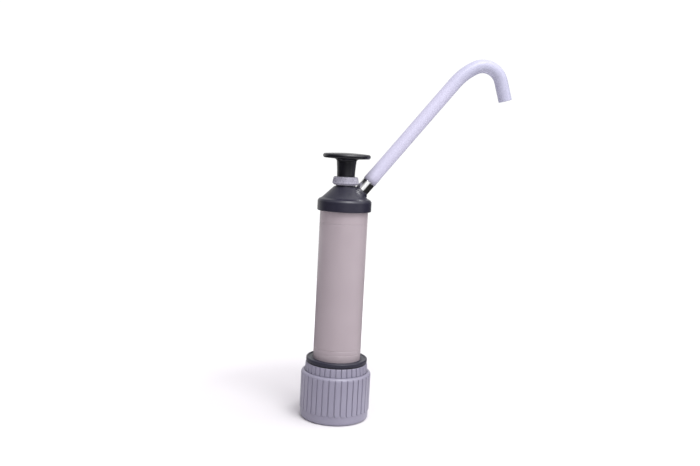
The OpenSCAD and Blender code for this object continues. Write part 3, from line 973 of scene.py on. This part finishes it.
def head():
    corners, lip, cone = head_corners()
    near = math.radians(42)        # half the sector round the spout, which has the finer columns
    angles = spread(-near, near, math.radians(0.9))
    angles += spread(near, TAU - near, math.radians(2.5))[1:-1]
    place = spout_frame()
    axis = place.to_3x3() @ Vector((0, 0, 1))
    start = place.translation
    boss_r, boss_h, fillet = 6.2 * MM, 0.9 * MM, 1.0 * MM

    def bossed(a, r, z):
        """The point, raised along the spout's axis where the boss stands."""
        point = Vector((r * math.cos(a), r * math.sin(a), z))
        if not (lip < z < cone + 0.001 * MM and 9.4 * MM < r < 19.6 * MM):
            return point
        offset = point - start
        along = offset.dot(axis)
        away = (offset - axis * along).length
        lift = smooth((boss_r + fillet - away) / fillet)
        raised = along + lift * max(0, boss_h - along)
        return point + axis * (raised - along)

    rings = [[bossed(a, r, z) for a in angles] for r, z in refined_cone(corners, lip, cone)]
    cap = skin("head_dome", rings, "barrel", node="head_cap", slot="black_plastic")
    above = 3 * MM
    socket = outline(
        (0, -SOCKET_DEPTH), (SOCKET_RADIUS, -SOCKET_DEPTH), (SOCKET_RADIUS, above), (0, above),
        closed=False)
    carve(cap, lathe("socket", socket, None, 96, closed=False, place=place))
    finish_with(cap, "black_plastic")


def gland_nut():
    radius, low, top = size_of("gland_nut")
    teeth, columns_per_tooth = 62, 8
    slant = 1.15                   # sideways run of the knurl's lines for each unit of height
    pass_r = size_of("pump_rod")[0] + 0.3 * MM
    pusher_r, pusher_low = 6.5 * MM, low + 2.3 * MM    # the foot that presses on the rod's packing
    thread_r, thread_top = 8.3 * MM, low + 4.9 * MM
    upper = radius - 0.75 * MM
    band_low, band_high = low + 1.9 * MM, top - 1.0 * MM
    height = top - 1.0 * MM - low - 1.9 * MM
    side = [(radius + (upper - radius) * t, band_low + height * t) for t in spread(0, 1, 1 / 30)]
    profile = outline(
        (thread_r, low), (radius - 1.6 * MM, low, 0.6 * MM),
        (radius - 0.05 * MM, low + 1.55 * MM, 0.5 * MM), (radius, low + 1.8 * MM), closed=False)
    profile += side
    profile += outline(
        (upper, top - 0.95 * MM), (upper - 0.05 * MM, top - 0.7 * MM, 0.2 * MM),
        (upper - 0.75 * MM, top, 0.25 * MM), (pass_r + 0.3 * MM, top, 0.2 * MM), (pass_r, top - 0.5 * MM),
        (pass_r, pusher_low), (pusher_r, pusher_low), (pusher_r, thread_top), (thread_r, thread_top),
        closed=False)

    def knurled(a, r, z):
        if r < upper - 0.01 * MM or not band_low <= z <= band_high:
            return r, z
        climb = (z - band_low) / radius * slant
        one = abs(math.sin(teeth * (a + climb) / 2))
        two = abs(math.sin(teeth * (a - climb) / 2))
        depth = 0.26 * MM * (1 - smooth(min(one, two) / 0.75))
        return r - depth * fade(z, band_low, band_high, 0.35 * MM), z

    nut = lathe("knurled_nut", profile, "barrel", teeth * columns_per_tooth, shape=knurled,
                node="gland_nut", slot="nut_grey")
    finish_with(nut, "nut_grey")


# ---------------------------------------------------------------- pieces: knob and rod

def knob():
    radius, low, _ = size_of("pump_knob")
    insert_r, _, insert_top = size_of("knob_insert")
    neck = 7.6 * MM
    swell, swell_h = 0.7 * MM, 11.7    # the neck widens by this much over this many mm
    flare = 2.4 * MM
    rim = low + 17 * MM
    half = 1.9 * MM
    crown = 0.8 * MM
    profile = [(insert_r, low + 0.1 * MM)]
    profile += outline(
        (insert_r + 0.2 * MM, low), (neck, low, 0.4 * MM), (neck, low + 0.6 * MM), closed=False)
    profile += [(neck + swell * (h / swell_h)**2, low + h * MM) for h in spread(1.0, 11.6, 1.0)]
    centre = neck + swell + flare
    for k in range(13):
        a = math.pi - math.radians(84) * k / 12
        profile.append((centre + flare * math.cos(a), low + 12.2 * MM + flare * math.sin(a)))
    for k in range(19):
        a = math.radians(-84 + 174 * k / 18)
        profile.append((radius - half + half * math.cos(a), rim + half * math.sin(a)))
    for t in spread(0.95, 0, 0.08):
        profile.append(((radius - half) * t, rim + half + crown * (1 - t**2)))
    profile += [(0, insert_top), (insert_r, insert_top)]
    palm = lathe("palm_knob", profile, "handle", 180, node="pump_knob", slot="black_plastic")
    finish_with(palm, "knob_black")


def rod():
    radius, low, top = size_of("pump_rod")
    step = size_of("piston")[2] + 0.3 * MM
    stud = radius - 1 * MM
    profile = outline((0, low), (stud, low, 0.5 * MM), (stud, step), (radius, step, 0.3 * MM),
                      (radius, top, 0.4 * MM), (0, top), closed=False)
    shaft = lathe("polished_rod", profile, "handle", 96, closed=False, node="pump_rod", slot="steel")
    finish_with(shaft, "steel")


# ---------------------------------------------------------------- pieces: spout

def stub():
    low, high = -SOCKET_DEPTH, STUB_END
    r, bore, sleeve = STUB_RADIUS, 3.5 * MM, 5.7 * MM
    groove_r, groove_low, groove_high = r - 0.8 * MM, low + 1.6 * MM, low + 3.2 * MM
    sleeve_end = TUBE_START - 0.02 * MM
    profile = outline(
        (bore, low, 0.2 * MM), (r, low, 0.4 * MM), (r, groove_low), (groove_r, groove_low),
        (groove_r, groove_high), (r, groove_high),
        (r, SLEEVE_START), (sleeve, SLEEVE_START, 0.4 * MM), (sleeve, sleeve_end, 0.15 * MM),
        (r, sleeve_end), (r, high - 2.2 * MM),
        (r - 0.35 * MM, high - 1.9 * MM, 0.2 * MM), (r, high - 0.4 * MM, 0.2 * MM),
        (r - 0.4 * MM, high, 0.2 * MM), (bore, high, 0.2 * MM), steps=4)
    tube = lathe("polished_stub", profile, "spout", 128, place=spout_frame(), node="spout_stub",
                 slot="polished_steel")
    finish_with(tube, "polished_steel")


def route(s):
    """Point and unit tangent, in the XZ plane, at a length along the outlet tube's centre line."""
    place = spout_frame()
    start = place @ Vector((0, 0, TUBE_START))
    heading = math.atan2(place[2][2], place[0][2])
    point = Vector((start.x, start.z))
    tangent = Vector((math.cos(heading), math.sin(heading)))
    if s <= RUN:
        return point + tangent * s, tangent
    point += tangent * RUN
    left = s - RUN
    for radius, sweep in BENDS:
        turn = min(left / radius, sweep)
        centre = point + Vector((math.sin(heading), -math.cos(heading))) * radius
        heading -= turn
        point = centre + Vector((-math.sin(heading), math.cos(heading))) * radius
        left -= turn * radius
        tangent = Vector((math.cos(heading), math.sin(heading)))
        if left < TINY:
            return point, tangent
    return point + tangent * left, tangent


def outlet_section():
    """Length along the centre line and radius, all round the tube's wall."""
    outer, bore, stretched = 5.75 * MM, 4.2 * MM, 4.93 * MM
    bulge, lip = 0.2 * MM, 0.45 * MM
    gripped = STUB_END - TUBE_START
    length = RUN + sum(radius * sweep for radius, sweep in BENDS) + TAIL

    def outside(s):
        past = smooth((s - gripped + 1.0 * MM) / (4.5 * MM))
        return outer + bulge * (1 - past) * smooth(s / (1.5 * MM))

    def inside(s):
        past = smooth((s - gripped + 0.2 * MM) / (2.2 * MM))
        return bore + (stretched - bore) * (1 - past)

    along = spread(1.0 * MM, 14 * MM, 0.5 * MM)
    along += spread(15 * MM, RUN, 1.5 * MM)
    along += spread(RUN + 1 * MM, length - TAIL, 1.0 * MM)
    along += spread(length - TAIL + 3 * MM, length - 1 * MM, 2 * MM)
    end_in, foot_in = outer - lip, outside(0) - lip
    section = [(s, outside(s)) for s in along]
    for a in spread(0.2, math.pi / 2, 0.25):
        section.append((length - lip + lip * math.sin(a), end_in + lip * math.cos(a)))
    for a in spread(0, math.pi / 2 - 0.2, 0.25):
        section.append((length - lip * (1 - math.cos(a)), bore + lip - lip * math.sin(a)))
    section += [(s, inside(s)) for s in reversed(along)]
    for a in (1.2, 0.8, 0.4, 0.0):
        section.append((lip * (1 - math.cos(a)), inside(0) + lip - lip * math.sin(a)))
    for a in (1.57, 1.1, 0.7, 0.3):
        section.append((lip * (1 - math.sin(a)), foot_in + lip * math.cos(a)))
    return section


def outlet():
    turns = [TAU * k / 64 for k in range(64)]
    rings = []
    for s, r in outlet_section():
        point, tangent = route(s)
        upward = Vector((-tangent.y, 0, tangent.x))
        centre = Vector((point.x, 0, point.y))
        ring = []
        for a in turns:
            ring.append(centre + upward * (r * math.cos(a)) + Vector((0, r * math.sin(a), 0)))
        rings.append(ring)
    tube = skin("silicone_tube", rings, "spout", node="outlet_tube", slot="milky_tube")
    finish_with(tube, "milky_tube")


base_cup()
flange_ring()
gasket()
barrel()
head()
gland_nut()
knob()
rod()
stub()
outlet()
